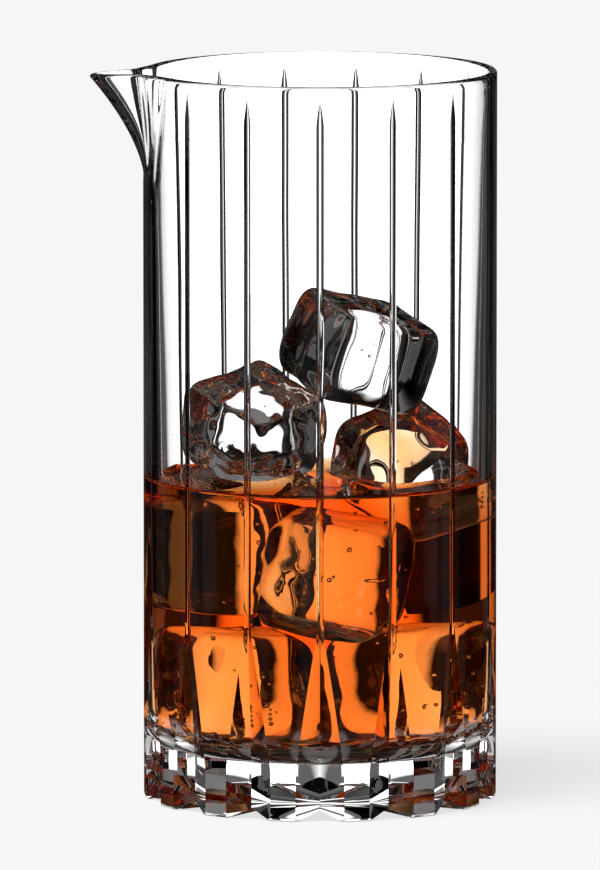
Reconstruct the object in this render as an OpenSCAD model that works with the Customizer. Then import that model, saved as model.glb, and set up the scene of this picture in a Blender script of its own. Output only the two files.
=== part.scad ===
/* [Vessel] */
// Height from the table to the rim
body_h = 173; // [150:1:220]
// Outer diameter of the straight body
body_d = 83.5; // [82:0.5:110]
// Thickness of the glass at the rim
rim_wall = 1.8; // [1.4:0.1:2.4]
// Thickness of the wall just above the floor
low_wall = 4.2; // [3.4:0.1:4.8]
// Thickness of the glass under the drink
floor_t = 12.5; // [10:0.5:20]
// Radius where the inner wall meets the floor
corner_r = 9; // [5:0.5:12]
// Rounding of the outer bottom edge
foot_r = 1; // [0.5:0.1:1.5]

/* [Flutes] */
// Number of flutes cut round the body
flute_count = 15; // [12:1:18]
// Radius of the round bottom of a flute
flute_r = 1.1; // [0.8:0.1:1.6]
// Depth of a flute in the wall
flute_depth = 0.45; // [0.3:0.05:0.6]
// Distance from the rim down to the pointed tip of a flute
flute_tip_drop = 3; // [2:0.5:8]
// Length over which the pointed tip deepens
flute_taper = 40; // [20:1:60]

/* [Base cuts] */
// Height at which a flute starts to widen into its facets
flare_h = 38.5; // [30:0.5:50]
// Height at which the facets reach their full width
facet_h = 11.6; // [8:0.1:16]
// Width of a pair of facets at the foot
facet_w = 11.4; // [8:0.1:12]
// Depth of the valley between a pair of facets
facet_depth = 2.25; // [1.5:0.05:2.6]
// Height of a star notch at the edge of the foot
star_h = 2.8; // [2:0.1:4]
// Radius at which a star notch starts
star_start_r = 8; // [6:0.5:16]

/* [Pouring lip] */
// How far the lip reaches out from the body
lip_reach = 13.2; // [8:0.1:14]
// How far down the body the lip starts
lip_drop = 27; // [20:0.5:34]
// Thickness of the glass at the lip
lip_wall = 2.6; // [2.2:0.1:3.2]
// Half of the angle that the swell of the lip takes from the rim
lip_half_angle = 25; // [20:1:30]
// Half of the angle of the beak itself
beak_half_angle = 9.5; // [7:0.5:12]

/* [Drink] */
// Height of the surface of the drink above the table
drink_h = 75.8; // [60:0.1:120]

/* [Ice] */
// Edge of a common ice block, as a share of the inner radius above the floor
ice_fill = 0.77; // [0.55:0.01:0.77]

/* [Hidden] */
$fn = 96;

// Overrun of every cut
over = 1;

// Body: outer radius, and the inner wall that thins towards the rim
body_r = body_d / 2;
rim_r = rim_wall / 2;
wall_start_h = floor_t + corner_r;
wall_top_h = body_h - rim_r;
thin_share = 1.25;
wall_bands = 7;
arc_steps = 8;

// Flutes: pitch, the circle on which their centres stand, and how far their cutter runs on
// past the tip, outside the wall
flute_pitch = 360 / flute_count;
flute_centre_r = body_r - flute_depth + flute_r;
flute_run_out = flute_taper / 10;
flute_end_r = flute_r - flute_depth - flute_depth * flute_run_out / flute_taper;
flute_sides = 12;

// Facets: radius of the valley, run of the flare and its tilt from the wall
valley_r = body_r - facet_depth;
facet_half_w = facet_w / 2;
facet_edge_r = sqrt(body_r * body_r - facet_half_w * facet_half_w);
facet_slope = facet_half_w / (facet_edge_r - valley_r);
facet_reach = facet_depth + over;
flare_tilt = atan((facet_depth - flute_depth) / (flare_h - facet_h));
flare_run = (flare_h - facet_h) / cos(flare_tilt);
star_tilt = atan(star_h / (body_r - star_start_r));
star_slope = facet_half_w / star_h;

// Lip: where its skin starts inside the wall, and the grid of the skin
lip_base_h = body_h - lip_drop;
lip_dip = rim_r / 2;
lip_top_h = body_h - lip_dip;
lip_bury = rim_wall / 6;
lip_back = 1.5 * rim_r;
lip_columns = 12;
lip_levels = 10;
beak_share = 0.7;
lip_power_share = 1.7;
narrowing_share = 0.35;

// Ice: edge of a common block, and how far its edges and corners are worn down
ice_edge = ice_fill * (body_r - low_wall);
ice_edge_wear = 0.086 * ice_edge;
ice_corner_wear = 0.146 * ice_edge;

// Size of each block as shares of that edge, its place as shares of the edge from the middle
// of the floor, and its turn about X, Y and Z in degrees
cube_size = [1, 1, 1];
ice_top_size = [1.14, 0.98, 0.79];
ice_top_place = [0.306, -0.122, 3.24];
ice_top_turn = [15, 13, 27];
ice_left_size = [1.02, 1.02, 0.775];
ice_left_place = [-0.527, 0.239, 2.575];
ice_left_turn = [21, -10, 38];
ice_right_size = [1, 0.965, 0.81];
ice_right_place = [0.686, 0.145, 2.255];
ice_right_turn = [28, -14, 31];
ice_front_place = [0.03, -0.64, 1.51];
ice_front_turn = [5, 10, -19];
ice_back_place = [-0.51, 0.443, 1.54];
ice_back_turn = [-2, 3, 16];
ice_floor_left_place = [-0.57, -0.07, 0.51];
ice_floor_left_turn = [0, 0, 6];
ice_floor_right_place = [0.543, 0.1, 0.51];
ice_floor_right_turn = [0, 0, -14];

// Thickness of the wall at a height: thick above the floor, thin at the rim
function wall_rule(h) =
    rim_wall + (low_wall - rim_wall)
    * pow((wall_top_h - h) / (wall_top_h - wall_start_h), 1 / thin_share);
wall_table = concat(
    [for (i = [0 : wall_bands]) let (h = wall_start_h + (lip_base_h - wall_start_h) * i / wall_bands)
        [h, wall_rule(h)]],
    [[wall_top_h, rim_wall]]
);
function wall_at(h) = lookup(h, wall_table);

function arc_points(centre, r, from, to, steps) =
    [for (i = [0 : steps]) let (a = from + (to - from) * i / steps) centre + r * [cos(a), sin(a)]];

// Outline of the hollow from the floor up to a height
function hollow_points(top) = concat(
    [[0, floor_t]],
    arc_points([body_r - low_wall - corner_r, floor_t + corner_r], corner_r, -90, 0, arc_steps),
    [for (w = wall_table) if (w[0] > wall_start_h && w[0] < top) [body_r - w[1], w[0]]],
    [[body_r - wall_at(top), top], [0, top]]
);

// Outline of the glass from the middle of the foot round the rim to the floor
function glass_points() = concat(
    [[0, 0]],
    arc_points([body_r - foot_r, foot_r], foot_r, -90, 0, arc_steps / 2),
    arc_points([body_r - rim_r, wall_top_h], rim_r, 0, 180, arc_steps),
    [for (i = [wall_bands : -1 : 1]) [body_r - wall_table[i][1], wall_table[i][0]]],
    arc_points([body_r - low_wall - corner_r, floor_t + corner_r], corner_r, 0, -90, arc_steps),
    [[0, floor_t]]
);

// How far the skin of the lip stands out from its start in the wall, at a depth below the top
function reach_at(d) = (lip_reach + lip_bury) * pow(max(0, 1 - d / lip_drop), lip_power_share);

// Rounding of the top edge of the lip: how far the skin draws in near the top
function edge_inset(d) = d >= rim_r ? 0 : rim_r - sqrt(rim_r * rim_r - pow(rim_r - max(d, 0), 2));

// Share of the reach at an angle from the middle of the lip: a broad swell and a narrow beak
function swell(a, half) = abs(a) >= half ? 0 : (1 + cos(180 * a / half)) / 2;
function lip_share(a, d) =
    let (narrow = 1 - narrowing_share * max(0, d) / lip_drop)
    (1 - beak_share) * swell(a, lip_half_angle * narrow) + beak_share * swell(a, beak_half_angle * narrow);

// Angles across the lip, closer together at the beak
lip_angles = [for (j = [-lip_columns : lip_columns]) let (u = j / lip_columns)
    lip_half_angle * u * (1 + 2 * abs(u)) / 3];

// Depths below the top of the lip, closer together at its rounded edge
lip_depths = concat([0, rim_r / 4],
    [for (i = [0 : lip_levels]) rim_r + (lip_drop - lip_dip - rim_r) * i / lip_levels]);

// One level of a skin that starts at a radius and stands out by a reach
function skin_ring(start, reach, back, d) = concat(
    [for (a = lip_angles) let (r = start + reach * lip_share(a, d))
        [-r * cos(a), -r * sin(a), lip_top_h - d]],
    [for (j = [len(lip_angles) - 1 : -1 : 0]) let (a = lip_angles[j])
        [-back * cos(a), -back * sin(a), lip_top_h - d]]
);
function swell_ring(d) =
    skin_ring(body_r - lip_bury, reach_at(d) - edge_inset(d), body_r - lip_back, d);
function channel_ring(d) =
    let (wall = wall_at(lip_top_h - d), start = body_r - wall - lip_bury)
    skin_ring(start, max(0, reach_at(d) + wall - lip_wall + edge_inset(d)), start - lip_wall, d);

// Skin over a stack of rings, from the top down, each anticlockwise when seen from above.
// A ring is flat, and its points face each other in pairs from its first and last
module loft(rings) {
    n = len(rings[0]);
    last = len(rings) - 1;
    cap = [for (i = [0 : n / 2 - 1], half = [0, 1])
        if (i + 1 < n - 1 - i - half)
            half == 0 ? [n - 1 - i, i + 1, i] : [n - 1 - i, n - 2 - i, i + 1]];
    polyhedron(
        points = [for (r = rings) each r],
        faces = concat(
            cap,
            [for (i = [0 : last - 1], j = [0 : n - 1], half = [0, 1])
                let (k = (j + 1) % n, top = i * n, low = top + n)
                half == 0 ? [top + j, top + k, low + j] : [top + k, low + k, low + j]],
            [for (f = cap) [for (v = [2, 1, 0]) last * n + f[v]]]
        )
    );
}

// Section of a flute at a height
function flute_ring(r, h) =
    [for (j = [0 : flute_sides - 1]) let (a = 180 + 360 * j / flute_sides)
        [flute_centre_r + r * cos(a), r * sin(a), h]];

module lip_swell() {
    loft([for (d = lip_depths) swell_ring(d)]);
}

module lip_channel() {
    loft(concat([channel_ring(-over)], [for (d = lip_depths) channel_ring(d)]));
}

// Round-bottomed groove that ends in a point under the rim
module flute(tip_h) {
    loft([
        flute_ring(flute_end_r, tip_h + flute_run_out),
        flute_ring(flute_r, tip_h - flute_taper),
        flute_ring(flute_r, facet_h)
    ]);
}

// Wedge with its edge on the Z axis, opening along +X
module wedge(slope, reach, h) {
    linear_extrude(height = h)
        polygon([[0, 0], [reach, -reach * slope], [reach, reach * slope]]);
}

// Pair of facets that widen out of a flute and run down to the foot
module facets() {
    translate([valley_r, 0, -over])
        wedge(facet_slope, facet_reach, facet_h + over);
    translate([valley_r, 0, facet_h])
        rotate([0, flare_tilt, 0])
            wedge(facet_slope, facet_reach, flare_run + over);
}

// Notch under the foot that rises towards the edge
module star_notch() {
    translate([star_start_r, 0, 0])
        rotate([0, -star_tilt, 0])
            rotate([0, 90, 0])
                wedge(star_slope, star_h + over, body_r);
}

// A flute that would run into the lip ends below it
function tip_height(a) = abs(a - 180) < lip_half_angle ? lip_base_h - flute_tip_drop : body_h - flute_tip_drop;

module glass_body() {
    color([0.86, 0.9, 0.92, 0.35])
    difference() {
        union() {
            rotate_extrude() polygon(glass_points());
            lip_swell();
        }
        lip_channel();
        for (i = [0 : flute_count - 1]) let (a = i * flute_pitch)
            rotate([0, 0, a]) {
                flute(tip_height(a));
                facets();
                star_notch();
            }
    }
}

// Block of clear ice with worn edges and corners
module ice_block(size, place, turn) {
    s = ice_edge * size;
    translate([0, 0, floor_t] + ice_edge * place)
        rotate(turn)
            intersection() {
                cube(s, center = true);
                cylinder(r = norm([s.x, s.y]) / 2 - ice_edge_wear, h = s.z + over, center = true);
                rotate([90, 0, 0])
                    cylinder(r = norm([s.x, s.z]) / 2 - ice_edge_wear, h = s.y + over, center = true);
                rotate([0, 90, 0])
                    cylinder(r = norm([s.y, s.z]) / 2 - ice_edge_wear, h = s.x + over, center = true);
                sphere(r = norm(s) / 2 - ice_corner_wear);
            }
}

module ice_top() {
    color([0.92, 0.95, 0.97, 0.5]) ice_block(ice_top_size, ice_top_place, ice_top_turn);
}

module ice_left() {
    color([0.85, 0.75, 0.68, 0.5]) ice_block(ice_left_size, ice_left_place, ice_left_turn);
}

module ice_right() {
    color([0.9, 0.7, 0.55, 0.5]) ice_block(ice_right_size, ice_right_place, ice_right_turn);
}

module ice_front() {
    color([0.95, 0.7, 0.5, 0.5]) ice_block(cube_size, ice_front_place, ice_front_turn);
}

module ice_back() {
    color([0.6, 0.3, 0.12, 0.5]) ice_block(cube_size, ice_back_place, ice_back_turn);
}

module ice_floor_left() {
    color([0.95, 0.55, 0.25, 0.5]) ice_block(cube_size, ice_floor_left_place, ice_floor_left_turn);
}

module ice_floor_right() {
    color([0.95, 0.6, 0.3, 0.5]) ice_block(cube_size, ice_floor_right_place, ice_floor_right_turn);
}

// Drink: fills the hollow up to its surface, round the blocks that stand in it
module drink() {
    color([0.9, 0.3, 0.03, 0.7])
    difference() {
        rotate_extrude() polygon(hollow_points(drink_h));
        ice_left();
        ice_right();
        ice_front();
        ice_back();
        ice_floor_left();
        ice_floor_right();
    }
}

glass_body();
drink();
ice_top();
ice_left();
ice_right();
ice_front();
ice_back();
ice_floor_left();
ice_floor_right();
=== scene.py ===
import bpy
import math
import random
import numpy as np
from mathutils import Euler, Matrix, Vector, noise
from mathutils.bvhtree import BVHTree


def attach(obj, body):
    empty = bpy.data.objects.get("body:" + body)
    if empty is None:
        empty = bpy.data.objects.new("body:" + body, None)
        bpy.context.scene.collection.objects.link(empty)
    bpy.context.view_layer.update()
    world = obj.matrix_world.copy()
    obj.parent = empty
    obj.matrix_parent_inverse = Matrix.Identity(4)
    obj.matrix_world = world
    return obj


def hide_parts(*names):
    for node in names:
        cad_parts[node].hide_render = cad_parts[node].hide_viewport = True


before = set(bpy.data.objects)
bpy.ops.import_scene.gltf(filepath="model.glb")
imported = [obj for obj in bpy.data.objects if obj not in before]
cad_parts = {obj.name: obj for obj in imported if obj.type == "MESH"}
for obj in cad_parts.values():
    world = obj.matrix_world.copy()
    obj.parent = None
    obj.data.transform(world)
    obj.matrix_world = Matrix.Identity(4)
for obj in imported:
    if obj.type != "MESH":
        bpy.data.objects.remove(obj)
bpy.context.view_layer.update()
mm = 0.001

# small helpers


class Settings(dict):  # a dictionary whose values are also read as settings.name
    __getattr__ = dict.__getitem__


class Sock:  # wraps a socket so that shader maths reads as an expression
    def __init__(self, tree, out):
        self.tree = tree
        self.out = out

    def op(self, kind, other, swap=False):
        inputs = {0: other, 1: self} if swap else {0: self, 1: other}
        return self.tree.node("ShaderNodeMath", {"operation": kind}, inputs)[0]

    def __add__(self, other):
        return self.op("ADD", other)

    def __radd__(self, other):
        return self.op("ADD", other, True)

    def __sub__(self, other):
        return self.op("SUBTRACT", other)

    def __rsub__(self, other):
        return self.op("SUBTRACT", other, True)

    def __mul__(self, other):
        return self.op("MULTIPLY", other)

    def __rmul__(self, other):
        return self.op("MULTIPLY", other, True)

    def __truediv__(self, other):
        return self.op("DIVIDE", other)

    def __gt__(self, other):
        return self.op("GREATER_THAN", other)


class Tree:  # the nodes of a material or of the world
    def __init__(self, tree):
        self.tree = tree
        tree.nodes.clear()

    def node(self, kind, settings=None, inputs=None):
        made = self.tree.nodes.new(kind)
        for key, value in (settings or {}).items():
            if key == "stops":
                ramp = made.color_ramp
                while len(ramp.elements) < len(value):
                    ramp.elements.new(0.5)
                for element, (place, colour) in zip(ramp.elements, value):
                    element.position = place
                    element.color = colour
            else:
                setattr(made, key, value)
        for key, value in (inputs or {}).items():
            if isinstance(value, Sock):
                self.tree.links.new(value.out, made.inputs[key])
            else:
                made.inputs[key].default_value = value
        return [Sock(self, out) for out in made.outputs]


def newMaterial(name):
    material = bpy.data.materials.new(name)
    material.use_nodes = True
    return material, Tree(material.node_tree)


def noiseAt(tree, place, scale, detail):
    return tree.node("ShaderNodeTexNoise", {}, {"Vector": place, "Scale": scale, "Detail": detail})[0]


def clearSurface(tree, piece, height, haze):  # height drives the bump and haze the roughness
    bump = tree.node("ShaderNodeBump", {}, {
        "Height": height, "Strength": piece.bump, "Distance": piece.bumpDepth})[0]
    return tree.node("ShaderNodeBsdfPrincipled", {}, {
        "Base Color": (1, 1, 1, 1), "Transmission Weight": 1.0, "IOR": piece.ior,
        "Roughness": haze * piece.haze, "Normal": bump})[0]


def link(obj):
    bpy.context.scene.collection.objects.link(obj)
    return obj


def meshObject(name, verts, faces, material, sharp=None):
    mesh = bpy.data.meshes.new(name)
    mesh.from_pydata(verts, [], faces)
    mesh.validate()
    mesh.shade_smooth()
    if sharp:
        mesh.set_sharp_from_angle(angle=math.radians(sharp))
    mesh.materials.append(material)
    return link(bpy.data.objects.new(name, mesh))


def closedFaces(rows, columns):  # quads between rings of points, and a fan to a point at each end
    faces = []
    for i in range(rows - 1):
        for j in range(columns):
            k = (j + 1) % columns
            faces.append(((i + 1) * columns + j, (i + 1) * columns + k, i * columns + k, i * columns + j))
    last = rows * columns
    faces += [(last, j, (j + 1) % columns) for j in range(columns)]
    faces += [(last + 1, last - columns + (j + 1) % columns, last - columns + j) for j in range(columns)]
    return faces


def steps(start, end, count):  # even steps after the start
    return np.linspace(start, end, count)[1:]


# glass

glass = Settings(  # in mm and degrees, with the flutes a little deeper than in the solid part
    height=173, radius=41.75, rimWall=1.8, lowWall=4.2, floor=12.5, corner=9, foot=1, thinShare=1.25,
    flutes=15, fluteHalf=0.9, fluteDepth=0.6, flutePower=1.5, tipDrop=3, taper=6, tipPower=0.8,
    flareHeight=38.5, facetHeight=11.6, facetWidth=11.4, facetDepth=2.25,
    starHeight=2.8, starStart=8, starEnd=5.0, leastCrease=0.3, sharp=14,
    lipReach=13.1, lipDrop=27, lipWall=2.6, lipHalf=25, beakHalf=9.5, beakShare=0.7, lipPower=1.7,
    narrowing=0.35, lipDip=0.45, lipBury=0.3, lipSoft=0.25, lipFade=0.02, lipRoot=3, lipSmooth=4,
    rimFollow=0.6, ior=1.52, haze=0.004, bump=0.02, bumpDepth=0.004,
    waveNoise=(55.0, 1.0), waveStretch=(1, 1, 0.35), hazeNoise=(400.0, 3.0))  # noise: scale and detail
rings = Settings(  # how finely the glass is divided
    crease=9, land=9, centre=0.03, hub=4, star=22, facetFrom=0.9, foot=8, low=(1.5, 2.2, 3.2, 4.2, 5.0),
    facet=6, flare=24, overFlare=4, straight=34, underLip=4, lip=30, rim=17, insideLip=30, underChannel=6,
    inside=36, even=12, corner=13, floor=8, middle=1.0)
rimRadius = glass.rimWall / 2
wallTop = glass.height - rimRadius
wallStart = glass.floor + glass.corner
flatRadius = glass.radius - glass.lowWall - glass.corner
lipBase = glass.height - glass.lipDrop
lipTop = glass.height - glass.lipDip
pitch = 360 / glass.flutes
facetHalf = glass.facetWidth / 2
valleyRadius = glass.radius - glass.facetDepth
facetSlope = facetHalf / (math.sqrt(glass.radius ** 2 - facetHalf ** 2) - valleyRadius)
starTan = glass.starHeight / (glass.radius - glass.starStart)
starSlope = facetHalf / glass.starHeight


def wallAt(h):  # the wall grows thicker downwards
    down = (wallTop - np.clip(h, wallStart, wallTop)) / (wallTop - wallStart)
    return glass.rimWall + (glass.lowWall - glass.rimWall) * down ** (1 / glass.thinShare)


def lipAngle(theta):  # degrees from the middle of the lip, which points to -X
    return (theta % 360) - 180


def lipShare(a, d):  # how far the lip stands out at an angle, at a depth under its top
    narrow = 1 - glass.narrowing * np.maximum(0, d) / glass.lipDrop

    def swell(half):
        return np.where(np.abs(a) >= half, 0, (1 + np.cos(np.pi * np.clip(a / half, -1, 1))) / 2)

    wide, beak = swell(glass.lipHalf * narrow), swell(glass.beakHalf * narrow)
    return (1 - glass.beakShare) * wide + glass.beakShare * beak


def lipBlend(share, h):  # the lip starts softly beside and under itself, and leaves the flutes alone
    return np.clip(share / glass.lipFade, 0, 1) * np.clip((h - lipBase) / glass.lipRoot, 0, 1)


def lipSag(theta):  # the rim dips a little along the lip
    return glass.lipDip * lipShare(lipAngle(theta), 0)


def reachAt(d):
    return (glass.lipReach + glass.lipBury) * np.maximum(0, 1 - d / glass.lipDrop) ** glass.lipPower


def softMax(a, b, k):
    return (a + b + np.sqrt((a - b) ** 2 + k * k)) / 2 - k / 2


def footRadius(h):
    edge = np.maximum(0, glass.foot - h)
    return glass.radius - glass.foot + np.sqrt(np.maximum(0, glass.foot ** 2 - edge ** 2))


def tipHeight(k):  # the two flutes beside the lip end under it
    return np.where(np.abs(k * pitch - 180) < glass.lipHalf, lipBase, glass.height) - glass.tipDrop


def fluteShape(k, h):  # half width and depth of a flute, which end in a point
    drop = np.clip((tipHeight(k) - h) / glass.taper, 0, 1) ** glass.tipPower
    return glass.fluteHalf * drop, glass.fluteDepth * drop


def valleyAt(h):
    rise = np.clip((h - glass.facetHeight) / (glass.flareHeight - glass.facetHeight), 0, 2)
    return valleyRadius + rise * (glass.facetDepth - glass.fluteDepth)


def facetRadius(valley, p):  # the flat sides of a valley between two facets
    return facetSlope * valley / (facetSlope * np.cos(p) - np.sin(p))


def starRise(phi, r):  # height of the star of notches under the foot
    p = np.radians(np.abs(phi))
    return np.maximum(0, (r * np.cos(p) - glass.starStart) * starTan - r * np.sin(p) / starSlope)


def creaseAngle(k, h):  # where the flute or the facets meet the round wall
    body = footRadius(h)
    spread = math.hypot(1, facetSlope)
    facet = np.degrees(np.arccos(np.clip(facetSlope * valleyAt(h) / (body * spread), -1, 1))) \
        - math.degrees(math.atan(1 / facetSlope))
    flute = np.degrees(fluteShape(k, h)[0] / body)
    return np.maximum(np.maximum(facet, flute), glass.leastCrease)


def outerRadius(k, phi, h):
    body = footRadius(h)
    p = np.radians(np.abs(phi))
    half, depth = fluteShape(k, h)
    across = np.clip(body * np.sin(p) / np.maximum(half, 1e-6), 0, 1)
    groove = body - depth * (1 - across ** glass.flutePower)
    cut = np.minimum(body, np.minimum(groove, facetRadius(valleyAt(h), p)))
    d = lipTop - h
    share = lipShare(lipAngle(k * pitch + phi), d)
    skin = glass.radius - glass.lipBury + reachAt(d) * share
    return cut + (softMax(cut, skin, glass.lipSoft) - cut) * lipBlend(share, h)


def innerRadius(theta, h):
    wall = wallAt(h)
    d = lipTop - h
    share = lipShare(lipAngle(theta), d)
    plain = glass.radius - wall
    channel = plain - glass.lipBury + np.maximum(0, reachAt(d) + wall - glass.lipWall) * share
    return plain + (softMax(plain, channel, glass.lipSoft) - plain) * lipBlend(share, h)


def buildGlass(material):
    half = np.concatenate([steps(0, 1, rings.crease + 1), steps(0, 1, rings.land + 1) + 1])
    side = np.concatenate([-half[:-1][::-1], [0], half])  # one flute, from the middle of a land to the next
    ks = np.repeat(np.arange(glass.flutes), len(side))
    us = np.tile(side, glass.flutes)
    rows = []

    def angles(crease):
        a = np.abs(us)
        return np.sign(us) * np.where(a <= 1, a * crease, crease + (a - 1) * (pitch / 2 - crease))

    def addRow(phi, r, z):
        r, z = np.broadcast_to(r, us.shape), np.broadcast_to(z, us.shape)
        rows.append((np.radians(ks * pitch + phi), r, z))

    # under the foot, from the middle out
    edge = glass.radius - glass.foot
    hub = glass.starStart / edge
    for t in [*np.linspace(rings.centre, hub, rings.hub), *steps(hub, 1, rings.star)]:
        r = t * edge
        rise = max(0, (r - glass.starStart) * starTan)
        crease = max(glass.leastCrease, math.degrees(math.asin(min(1, rise * starSlope / r))))
        phi = angles(creaseAngle(ks, 0.0) if t == 1 else crease)
        if t > rings.facetFrom:
            r = np.minimum(r, t * facetRadius(valleyRadius, np.radians(np.abs(phi))))
        addRow(phi, r, starRise(phi, r))

    # outer wall, from the foot to the rim: the star's rise ends a little above the foot
    footAngles = np.linspace(90 / rings.foot, 90, rings.foot)
    for h in [*(glass.foot * (1 - math.cos(math.radians(a))) for a in footAngles), *rings.low]:
        phi = angles(creaseAngle(ks, h))
        low = starRise(phi, outerRadius(ks, phi, h))
        z = low + h / glass.starEnd * (glass.starEnd - low)
        addRow(phi, outerRadius(ks, phi, z), z)
    flareTop, lipStart = glass.flareHeight + rings.overFlare, lipBase - rings.underLip
    for h in [*steps(glass.starEnd, glass.facetHeight, rings.facet),
              *steps(glass.facetHeight, flareTop, rings.flare),
              *steps(flareTop, lipStart, rings.straight), *steps(lipStart, wallTop, rings.lip)]:
        phi = angles(creaseAngle(ks, h))
        drop = lipSag(ks * pitch + phi) * max(0, (h - lipBase) / glass.lipDrop)
        addRow(phi, outerRadius(ks, phi, h), h - drop)

    # rounded rim
    phi = angles(creaseAngle(ks, wallTop))
    theta = ks * pitch + phi
    for a in np.linspace(0, math.pi, rings.rim)[1:-1]:
        h = np.full(us.shape, wallTop + rimRadius * math.sin(a) * glass.rimFollow)
        out, hollow = outerRadius(ks, phi, h), innerRadius(theta, h)
        addRow(phi, (out + hollow) / 2 + (out - hollow) / 2 * math.cos(a),
               wallTop + rimRadius * math.sin(a) - lipSag(theta))

    # inner wall down to the floor, where the columns become even
    even = angles(np.full(us.shape, pitch / 4))
    channelEnd = lipBase - rings.underChannel
    inside = [*np.linspace(wallTop, channelEnd, rings.insideLip),
              *steps(channelEnd, wallStart, rings.inside)]
    for i, h in enumerate(inside):
        blend = min(1, i / rings.even)
        p = phi * (1 - blend) + even * blend
        theta = ks * pitch + p
        drop = lipSag(theta) * max(0, (h - lipBase) / glass.lipDrop)
        addRow(p, innerRadius(theta, np.full(us.shape, h)), h - drop)
    for a in steps(0, 90, rings.corner):
        addRow(even, flatRadius + glass.corner * math.cos(math.radians(a)),
               wallStart - glass.corner * math.sin(math.radians(a)))
    for r in steps(flatRadius, rings.middle, rings.floor):
        addRow(even, r, glass.floor)

    points = np.concatenate([np.stack([r * np.cos(t), r * np.sin(t), z], 1) for t, r, z in rows]) * mm
    points = np.vstack([points, [[0, 0, 0], [0, 0, glass.floor * mm]]])
    faces = [face[::-1] for face in closedFaces(len(rows), len(us))]
    made = meshObject("pitcher_glass", points.tolist(), faces, material, glass.sharp)
    softenLip(made.data)
    return made


def softenLip(mesh):  # the lip is smooth all over: only the flutes and facets keep sharp edges
    sharp = mesh.attributes["sharp_edge"].data
    for edge in mesh.edges:
        x, y, z = mesh.vertices[edge.vertices[0]].co
        beside = abs(lipAngle(math.degrees(math.atan2(y, x))))
        if z > lipBase * mm and beside < glass.beakHalf + glass.lipSmooth:
            sharp[edge.index].value = False


def glassMaterial():
    material, tree = newMaterial("clear_pressed_glass")
    place = tree.node("ShaderNodeTexCoord")[3]
    flow = tree.node("ShaderNodeMapping", {}, {0: place, 3: glass.waveStretch})[0]
    shader = clearSurface(tree, glass, noiseAt(tree, flow, *glass.waveNoise),
                          noiseAt(tree, place, *glass.hazeNoise))
    tree.node("ShaderNodeOutputMaterial", {}, {"Surface": shader})
    return material


# ice

ice = Settings(  # waves in mm, wear as a share of a block's edge, the edge as a share of the inner radius
    fill=0.77, edgeWear=0.086, cornerWear=0.146, cells=56, soft=0.9, softLift=0.15, wave=0.8, waveSize=11,
    ripple=0.04, rippleSize=4, rippleShift=3, noiseStart=(1.3, 9.1, 0), noiseStep=(3.7, 0, 4.4),
    ior=1.45, haze=0.01, bump=0.02, bumpDepth=0.001, meltNoise=(220.0, 2.0), frostNoise=(900.0, 3.0),
    ripples=dict(ice_left=0.26, ice_right=0.1, ice_front=0.24, ice_back=0.24, ice_floor_left=0.2,
                 ice_floor_right=0.17),
    blocks=dict(  # size and place as shares of the edge, then the turn in degrees
        ice_top=((1.14, 0.98, 0.79), (0.306, -0.122, 3.24), (15, 13, 27)),
        ice_left=((1.02, 1.02, 0.775), (-0.527, 0.239, 2.575), (21, -10, 38)),
        ice_right=((1, 0.965, 0.81), (0.686, 0.145, 2.255), (28, -14, 31)),
        ice_front=((1, 1, 1), (0.03, -0.64, 1.51), (5, 10, -19)),
        ice_back=((1, 1, 1), (-0.51, 0.443, 1.54), (-2, 3, 16)),
        ice_floor_left=((1, 1, 1), (-0.57, -0.07, 0.51), (0, 0, 6)),
        ice_floor_right=((1, 1, 1), (0.543, 0.1, 0.51), (0, 0, -14))))
iceEdge = ice.fill * (glass.radius - glass.lowWall)
wetSharp = 50  # degrees: in ice and drink only a cut keeps its edge


def halfSize(name):
    return [iceEdge * share / 2 for share in ice.blocks[name][0]]


def blockMatrix(name):
    size, place, turn = ice.blocks[name]
    middle = Vector((0, 0, glass.floor)) + iceEdge * Vector(place)
    return Matrix.Translation(middle) @ Euler([math.radians(t) for t in turn]).to_matrix().to_4x4()


def blockSurface(direction, half, seed, grow, melt):  # point of a worn block in a direction from its middle
    d = Vector([c * h for c, h in zip(direction, half)]).normalized()
    a = [max(abs(c), 1e-6) for c in d]
    limits = [half[i] / a[i] for i in range(3)]
    limits += [(math.hypot(half[i], half[j]) - ice.edgeWear * iceEdge) / math.hypot(a[i], a[j])
               for i, j in ((0, 1), (0, 2), (1, 2))]
    limits.append(math.hypot(*half) - ice.cornerWear * iceEdge)
    near = min(limits)
    k = ice.soft
    r = near - k * math.log(sum(math.exp((near - limit) / k) for limit in limits)) + ice.softLift * k
    p = d * r
    wave = noise.noise(p / ice.waveSize + seed) * 0.5 + 0.5
    ripple = noise.noise(p / ice.rippleSize + seed * ice.rippleShift) * 0.5 + 0.5
    return p * (1 + (grow - ice.wave * 2 * wave - melt * 2 * ripple) / r)


def buildBlock(name, index, grow=0.0):  # six square grids drawn out to the worn surface
    n = ice.cells
    half = halfSize(name)
    seed = Vector([step * index + start for step, start in zip(ice.noiseStep, ice.noiseStart)])
    matrix = blockMatrix(name)
    melt = ice.ripples.get(name, ice.ripple)
    across = [math.tan(math.pi / 4 * (2 * i / n - 1)) for i in range(n + 1)]
    verts, faces, seen = [], [], {}

    def vertex(axis, sign, u, v):  # neighbouring grids share the points of their edges
        d = [0, 0, 0]
        d[axis], d[(axis + 1) % 3], d[(axis + 2) % 3] = sign, u, v
        key = tuple(round(c, 6) for c in d)
        if key not in seen:
            seen[key] = len(verts)
            verts.append(tuple(matrix @ blockSurface(Vector(d), half, seed, grow, melt) * mm))
        return seen[key]

    for axis in range(3):
        for sign in (-1, 1):
            grid = [[vertex(axis, sign, u, v) for v in across] for u in across]
            for i in range(n):
                for j in range(n):
                    quad = (grid[i][j], grid[i + 1][j], grid[i + 1][j + 1], grid[i][j + 1])
                    faces.append(quad if sign > 0 else quad[::-1])
    return verts, faces


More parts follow.
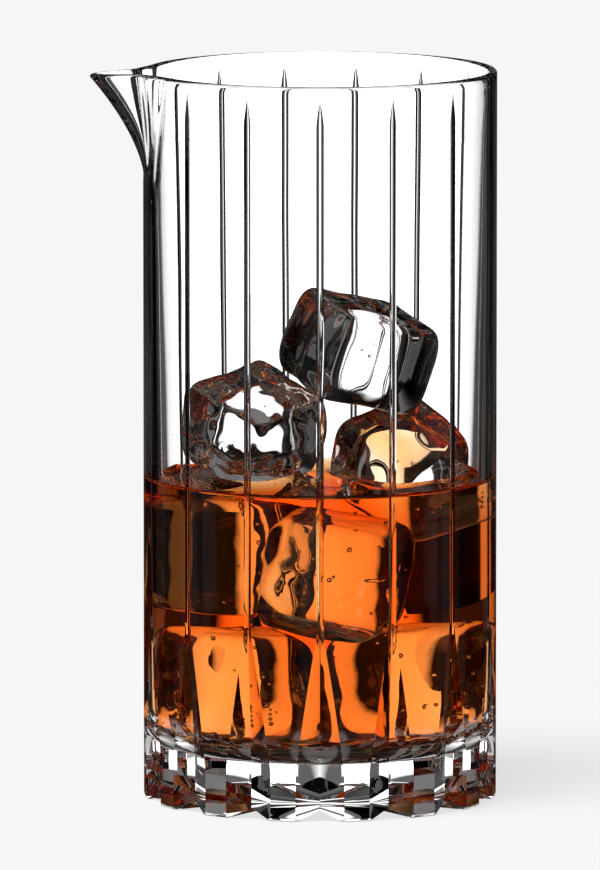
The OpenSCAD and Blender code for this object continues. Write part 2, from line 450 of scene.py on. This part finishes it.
def iceMaterial():
    material, tree = newMaterial("clear_ice")
    place = tree.node("ShaderNodeTexCoord")[3]
    shader = clearSurface(tree, ice, noiseAt(tree, place, *ice.meltNoise),
                          noiseAt(tree, place, *ice.frostNoise))
    tree.node("ShaderNodeOutputMaterial", {}, {"Surface": shader})
    return material


# bubbles

bubbles = Settings(  # in mm
    radius=(0.2, 0.65), rings=6, sides=10, iceCount=9, iceReach=2.5, skin=0.2, apart=0.05,
    chained=("ice_right", "ice_floor_left"), chain=4, chainStart=(0.3, -0.75, -0.5), chainStep=1.15,
    chainSway=0.2, chainRadius=0.5, chainShrink=0.06,
    drinkCount=70, drinkRadius=37, drinkReach=1.2, iceGap=0.15, floorGap=1, topGap=1.5, rise=0.8,
    drinkSeed=7, iceSeed=20)


def treeOf(verts, faces):
    return BVHTree.FromPolygons([Vector(v) for v in verts], faces)


def iceBubbles(name, verts, faces, rng):  # just under the skin, and a chain of them in two blocks
    half = halfSize(name)
    matrix = blockMatrix(name)
    tree = treeOf(verts, faces)
    spots = []

    def depthOf(p):
        spot, normal, _, distance = tree.find_nearest(p * mm)
        return distance / mm * (1 if (p * mm - spot).dot(normal) < 0 else -1)

    def add(p, radius):
        clear = all((p - other).length - radius - size > bubbles.apart for other, size in spots)
        if clear and depthOf(p) > radius + bubbles.skin:
            spots.append((p, radius))

    while len(spots) < bubbles.iceCount:
        p = matrix @ Vector([rng.uniform(-1, 1) * h for h in half])
        radius = rng.uniform(*bubbles.radius)
        if depthOf(p) < radius + bubbles.iceReach and p.y < matrix.translation.y:
            add(p, radius)
    if name in bubbles.chained:
        start = matrix @ Vector([share * h for share, h in zip(bubbles.chainStart, half)])
        for i in range(bubbles.chain):
            sway = bubbles.chainSway * rng.uniform(-1, 1)
            radius = bubbles.chainRadius - bubbles.chainShrink * i
            add(start + Vector((sway, 0, bubbles.chainStep * i)), radius)
    return spots


def drinkBubbles(blocks):  # close to the ice, and more of them near the top
    rng = random.Random(bubbles.drinkSeed)
    trees = [treeOf(*block) for block in blocks]
    spots = []
    while len(spots) < bubbles.drinkCount:
        a, r = rng.uniform(0, 2 * math.pi), bubbles.drinkRadius * math.sqrt(rng.random())
        depth = drink.level - glass.floor - (bubbles.floorGap + bubbles.topGap)
        z = glass.floor + bubbles.floorGap + depth * rng.random() ** bubbles.rise
        radius = rng.uniform(*bubbles.radius)
        p = Vector((r * math.cos(a), r * math.sin(a), z))
        if z < wallStart and r > flatRadius - bubbles.floorGap:
            continue
        near, inside = 1e9, False
        for tree in trees:
            spot, normal, _, distance = tree.find_nearest(p * mm)
            near = min(near, distance / mm)
            inside = inside or (p * mm - spot).dot(normal) < 0
        if not inside and radius + bubbles.iceGap < near < radius + bubbles.drinkReach:
            spots.append((p, radius))
    return spots


def bubble(centre, radius, first):  # faces look inwards, numbered from first
    sides = bubbles.sides
    verts = [tuple(centre + Vector((0, 0, radius)))]
    for i in range(1, bubbles.rings):
        a = math.pi * i / bubbles.rings
        for j in range(sides):
            b = 2 * math.pi * j / sides
            out = Vector((math.sin(a) * math.cos(b), math.sin(a) * math.sin(b), math.cos(a)))
            verts.append(tuple(centre + radius * out))
    verts.append(tuple(centre - Vector((0, 0, radius))))
    faces = [(first, first + 1 + (j + 1) % sides, first + 1 + j) for j in range(sides)]
    for i in range(bubbles.rings - 2):
        for j in range(sides):
            a, b = first + 1 + i * sides + j, first + 1 + i * sides + (j + 1) % sides
            faces.append((a, b, b + sides, a + sides))
    end = first + len(verts) - 1
    faces += [(end, end - sides + j, end - sides + (j + 1) % sides) for j in range(sides)]
    return verts, faces


def addBubbles(obj, spots):  # rebuilds the mesh with its bubbles as closed hollows
    old = obj.data
    verts = [tuple(v.co) for v in old.vertices]
    faces = [tuple(p.vertices) for p in old.polygons]
    for centre, radius in spots:
        v, f = bubble(centre * mm, radius * mm, len(verts))
        verts += v
        faces += f
    fresh = bpy.data.meshes.new(old.name)
    fresh.from_pydata(verts, [], faces)
    fresh.shade_smooth()
    fresh.set_sharp_from_angle(angle=math.radians(wetSharp))
    fresh.materials.append(old.materials[0])
    obj.data = fresh


# drink

drink = Settings(  # in mm, with the absorption's density per metre
    level=75.8, overlap=0.05, cavity=0.1, surfaceDrop=0.4,
    meniscus=1.5, iceMeniscus=0.75, meniscusWidth=1.5,
    columns=192, centre=0.02, middle=40, edgeFrom=0.82, edge=22, wall=24, corner=13, floor=6,
    ior=1.35, haze=0.002, bump=0.05, bumpDepth=0.002, swirlNoise=(40.0, 1.0),
    colour=(0.98, 0.63, 0.17), density=100.0)


def buildDrink(material, blocks):  # reaches a little way into the glass, as nested clear bodies need
    grow = drink.overlap
    wall = glass.radius - wallAt(drink.level) + grow
    top = drink.level - drink.surfaceDrop
    trees = [treeOf(*block) for block in blocks]
    rows = []  # radius, height, and whether the row lies on the free surface
    for t in [*np.linspace(drink.centre, drink.edgeFrom, drink.middle),
              *steps(drink.edgeFrom, 1, drink.edge)]:
        r = wall * t
        rows.append((r, top + drink.meniscus * math.exp(-(wall - r) / drink.meniscusWidth), True))
    for h in steps(rows[-1][1], wallStart, drink.wall):
        rows.append((glass.radius - float(wallAt(h)) + grow, h, False))
    corner = glass.corner + grow
    for a in steps(0, 90, drink.corner):
        rows.append((flatRadius + corner * math.cos(math.radians(a)),
                     wallStart - corner * math.sin(math.radians(a)), False))
    for r in steps(flatRadius, 1, drink.floor):
        rows.append((r, glass.floor - grow, False))
    verts = []
    for r, z, free in rows:
        for j in range(drink.columns):
            a = 2 * math.pi * j / drink.columns
            p = Vector((r * math.cos(a), r * math.sin(a), z)) * mm
            if free:
                near = min(tree.find_nearest(p)[3] for tree in trees) / mm
                p.z += drink.iceMeniscus * math.exp(-near / drink.meniscusWidth) * mm
            verts.append(tuple(p))
    verts += [(0, 0, top * mm), (0, 0, (glass.floor - grow) * mm)]
    return meshObject("amber_drink", verts, closedFaces(len(rows), drink.columns), material)


def cutBlocks(body, blocks):  # the ice takes its room out of the drink
    verts, faces = [], []
    for v, f in blocks:
        faces += [tuple(i + len(verts) for i in face) for face in f]
        verts += v
    tool = meshObject("cavities", verts, faces, body.data.materials[0])
    cut = body.modifiers.new("cut", "BOOLEAN")
    cut.operation = "DIFFERENCE"
    cut.solver = "MANIFOLD"
    cut.object = tool
    depsgraph = bpy.context.evaluated_depsgraph_get()
    result = bpy.data.meshes.new_from_object(body.evaluated_get(depsgraph))
    body.modifiers.clear()
    body.data = result
    bpy.data.objects.remove(tool)


def drinkMaterial():
    material, tree = newMaterial("amber_drink")
    swirl = noiseAt(tree, tree.node("ShaderNodeTexCoord")[3], *drink.swirlNoise)
    shader = clearSurface(tree, drink, swirl, swirl)
    depth = tree.node("ShaderNodeVolumeAbsorption", {}, {
        "Color": (*drink.colour, 1), "Density": drink.density})[0]
    tree.node("ShaderNodeOutputMaterial", {}, {"Surface": shader, "Volume": depth})
    return material


# all pieces, each in the place of its node

vessel = buildGlass(glassMaterial())
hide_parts("glass_body")
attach(vessel, "pitcher")
print("glass done", len(vessel.data.polygons))

iceFinish = iceMaterial()
cavities = []
for index, name in enumerate(ice.blocks):
    verts, faces = buildBlock(name, index)
    block = meshObject("block_" + name, verts, faces, iceFinish)
    rng = random.Random(bubbles.iceSeed + index)
    addBubbles(block, iceBubbles(name, verts, faces, rng))
    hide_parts(name)
    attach(block, "top_ice" if name == "ice_top" else "pitcher")
    if name != "ice_top":
        cavities.append(buildBlock(name, index, -drink.cavity))
print("ice done", len(cavities), "blocks in the drink and one on top")

liquid = buildDrink(drinkMaterial(), cavities)
cutBlocks(liquid, cavities)
addBubbles(liquid, drinkBubbles(cavities))
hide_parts("drink")
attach(liquid, "pitcher")
print("drink done", len(liquid.data.polygons))

# studio

studio = Settings(
    pale=0.92, dark=0.003, grey=0.13, liquidGrey=0.02, panel=2.1, falloff=0.68, topGlow=0.2,  # brightness
    # on the next line: the painted light panels on the floor and the painted shade between them, seen only
    # through the glass, then the real shadow's share and the floor's colour
    floorPanel=2.0, floorDark=0.05, shadowShare=0.2, floorAlbedo=0.8,
    sheen=0.03, wallSheen=0.05, footDark=0.02,  # what is left of a light in reflections, and the painted shadow on the floor under the foot
    floorSize=0.3, floorSides=96, footShade=(0.03, 0.046), baseGlow=(0.06, 0.12),  # metres from the middle: the floor's size, and where the painted shadow and the painted glow on the floor fade out
    pitch=90.0, turn=-6.0, panelSide=12.5, greySide=22.0, dimSide=25.0, softEdge=2.0,  # degrees
    narrowSide=5.5, narrowShare=0.6, cornerDim=0.85, panelLow=-34.0, panelTop=12.0, topRise=(25.0, 50.0))
lamp = Settings(power=3.9, softness=25.0, place=(-0.25, -0.2, 0.9))
view = Settings(turn=6.0, distance=3.0, height=0.485, aimSide=-0.00473, aimHeight=0.086, lens=529.5,
                sensor=36, near=0.1, far=20)
bounces = Settings(total=32, through=32, mirrored=16)  # a ray meets many clear walls


def plain(level):
    return (level, level, level, 1)


def smoothStep(tree, value, start, end, low=0.0, high=1.0):
    return tree.node("ShaderNodeMapRange", {"interpolation_type": "SMOOTHSTEP"},
                     {0: value, 1: start, 2: end, 3: low, 4: high})[0]


def mixColour(tree, factor, first, second, blend="MIX"):
    return tree.node("ShaderNodeMix", {"data_type": "RGBA", "blend_type": blend},
                     {0: factor, 6: first, 7: second})[2]


def lightPath(tree):  # a ray passes four clear walls in the empty glass, and more of them in the drink
    path = tree.node("ShaderNodeLightPath")
    walls = path[13]
    return Settings(camera=path[0], diffuse=path[2], mirrored=path[11] > 0.5, entered=walls > 0.5,
                    deep=walls > 2.5, empty=(walls > 3.5) * (1 - (walls > 4.5)), liquid=walls > 5.5)


def panels(tree, x, y, level, dark, liquid):  # wide panels round the object, a narrow one between each two: lights in the world, and painted light and painted shade on the floor
    azimuth = tree.node("ShaderNodeMath", {"operation": "ARCTAN2"}, {0: x, 1: y})[0] * (180 / math.pi)
    half, edge = studio.pitch / 2, studio.softEdge

    def across(turn, stops):  # stops are (degrees from the middle of a panel, level)
        turned = azimuth + turn + 720.0  # kept above zero
        place = tree.node("ShaderNodeMath", {"operation": "PINGPONG"}, {0: turned, 1: half})[0]
        stops = [(a / half, plain(v)) for a, v in stops]
        return tree.node("ShaderNodeValToRGB", {"stops": stops}, {0: place / half})[0]

    def wide(skirt):
        return across(studio.turn, [(0, level), (studio.panelSide, level * studio.falloff),
                                    (studio.panelSide + edge, skirt), (studio.greySide, skirt),
                                    (studio.dimSide, dark)])

    narrow = across(0.0, [(0, 0), (half - studio.narrowSide - edge, 0),
                          (half - studio.narrowSide, level * studio.narrowShare)])
    hidden = liquid * (x > 0.0) * (y > 0.0) * studio.cornerDim  # the drink's left edge stays dark: dimmed light in the world, painted shade on the floor
    broad = mixColour(tree, liquid, wide(studio.grey), wide(studio.liquidGrey))
    return mixColour(tree, 1 - hidden, broad, narrow, "ADD")


def buildWorld():
    world = bpy.data.worlds.new("studio")
    world.use_nodes = True
    bpy.context.scene.world = world
    tree = Tree(world.node_tree)
    x, y, z = tree.node("ShaderNodeSeparateXYZ", {}, {0: tree.node("ShaderNodeTexCoord")[0]})
    rise = tree.node("ShaderNodeMath", {"operation": "ARCSINE"}, {0: z})[0] * (180 / math.pi)
    edge, low, top = studio.softEdge, studio.panelLow, studio.panelTop
    ray = lightPath(tree)
    across = panels(tree, x, y, studio.panel, studio.dark, ray.liquid)
    window = smoothStep(tree, rise, low - edge, low + edge) * smoothStep(tree, rise, top + edge, top - edge)
    high = smoothStep(tree, rise, *studio.topRise) * (1 - ray.diffuse)
    light = mixColour(tree, window, plain(studio.dark), across)
    light = mixColour(tree, high, light, plain(studio.topGlow))
    colour = mixColour(tree, ray.camera, light, plain(studio.pale))
    echo = studio.sheen + ray.entered * (studio.wallSheen - studio.sheen)
    strength = 1 - ray.mirrored * (1 - echo) * (1 - high)
    background = tree.node("ShaderNodeBackground", {}, {0: colour, 1: strength})[0]
    tree.node("ShaderNodeOutputWorld", {}, {0: background})


def buildFloor():
    material, tree = newMaterial("pale_floor")
    place = tree.node("ShaderNodeNewGeometry")[0]
    x, y, z = tree.node("ShaderNodeSeparateXYZ", {}, {0: place})
    ray = lightPath(tree)
    # painted light and painted shade: the floor shows bright panels and dark gaps to rays that come through
    # the glass
    floorPaintedLight = panels(tree, x, y, studio.floorPanel, studio.floorDark, ray.liquid)
    away = tree.node("ShaderNodeVectorMath", {"operation": "LENGTH"}, {0: place})[1]
    # painted shadow: the floor seen through the glass is darkened under the foot
    shaded = smoothStep(tree, away, *studio.footShade, studio.footDark, 1.0)
    # painted glow: to rays reflected after entering the glass, the floor is bright near the foot and dim
    # further out
    paintedFootGlow = smoothStep(tree, away, *studio.baseGlow, 1.0, studio.sheen)
    echo = studio.sheen + ray.entered * (paintedFootGlow - studio.sheen)
    carried = (1 - ray.deep * (1 - shaded)) * (1 - ray.mirrored * (1 - echo))
    clear = ray.empty * (1 - ray.mirrored)  # seen straight through the glass above the drink
    level = mixColour(tree, clear, floorPaintedLight, plain(studio.pale))
    level = tree.node("ShaderNodeVectorMath", {"operation": "SCALE"},
                      {"Vector": level, "Scale": carried + clear * (1 - carried)})[0]
    matt = tree.node("ShaderNodeBsdfDiffuse", {}, {0: plain(studio.floorAlbedo)})[0]
    glow = tree.node("ShaderNodeEmission", {}, {0: plain(studio.pale)})[0]
    seen = tree.node("ShaderNodeMixShader", {}, {0: 1 - studio.shadowShare, 1: matt, 2: glow})[0]
    # the floor's painted light and painted shadow, shown to every ray but camera rays
    through = tree.node("ShaderNodeEmission", {}, {0: level})[0]
    mixed = tree.node("ShaderNodeMixShader", {}, {0: ray.camera, 1: through, 2: seen})[0]
    tree.node("ShaderNodeOutputMaterial", {}, {"Surface": mixed})
    turns = [2 * math.pi * i / studio.floorSides for i in range(studio.floorSides)]
    verts = [(studio.floorSize * math.cos(a), studio.floorSize * math.sin(a), 0) for a in turns]
    meshObject("floor", verts, [tuple(range(len(verts)))], material)


def buildCamera():
    turn = math.radians(view.turn)
    back = Vector((-math.sin(turn), -math.cos(turn), 0))
    side = Vector((math.cos(turn), -math.sin(turn), 0))
    camera = link(bpy.data.objects.new("camera", bpy.data.cameras.new("camera")))
    camera.location = back * view.distance + Vector((0, 0, view.height))
    aim = side * view.aimSide + Vector((0, 0, view.aimHeight))
    camera.rotation_euler = (aim - camera.location).to_track_quat("-Z", "Y").to_euler()
    camera.data.lens = view.lens
    camera.data.sensor_width = view.sensor
    camera.data.clip_start = view.near
    camera.data.clip_end = view.far
    bpy.context.scene.camera = camera


def buildLamp():  # gives the floor its shadow and shows in no glass
    data = bpy.data.lights.new("sun", "SUN")
    data.energy = lamp.power
    data.angle = math.radians(lamp.softness)
    sun = link(bpy.data.objects.new("sun", data))
    sun.location = lamp.place
    sun.rotation_euler = (-sun.location).to_track_quat("-Z", "Y").to_euler()
    sun.visible_glossy = False
    sun.visible_transmission = False


buildWorld()
buildFloor()
buildCamera()
buildLamp()
scene = bpy.context.scene
scene.view_settings.view_transform = "Standard"
scene.cycles.max_bounces = bounces.total
scene.cycles.transmission_bounces = bounces.through
scene.cycles.glossy_bounces = bounces.mirrored
scene.cycles.caustics_refractive = False
scene.cycles.caustics_reflective = False
print("studio done")
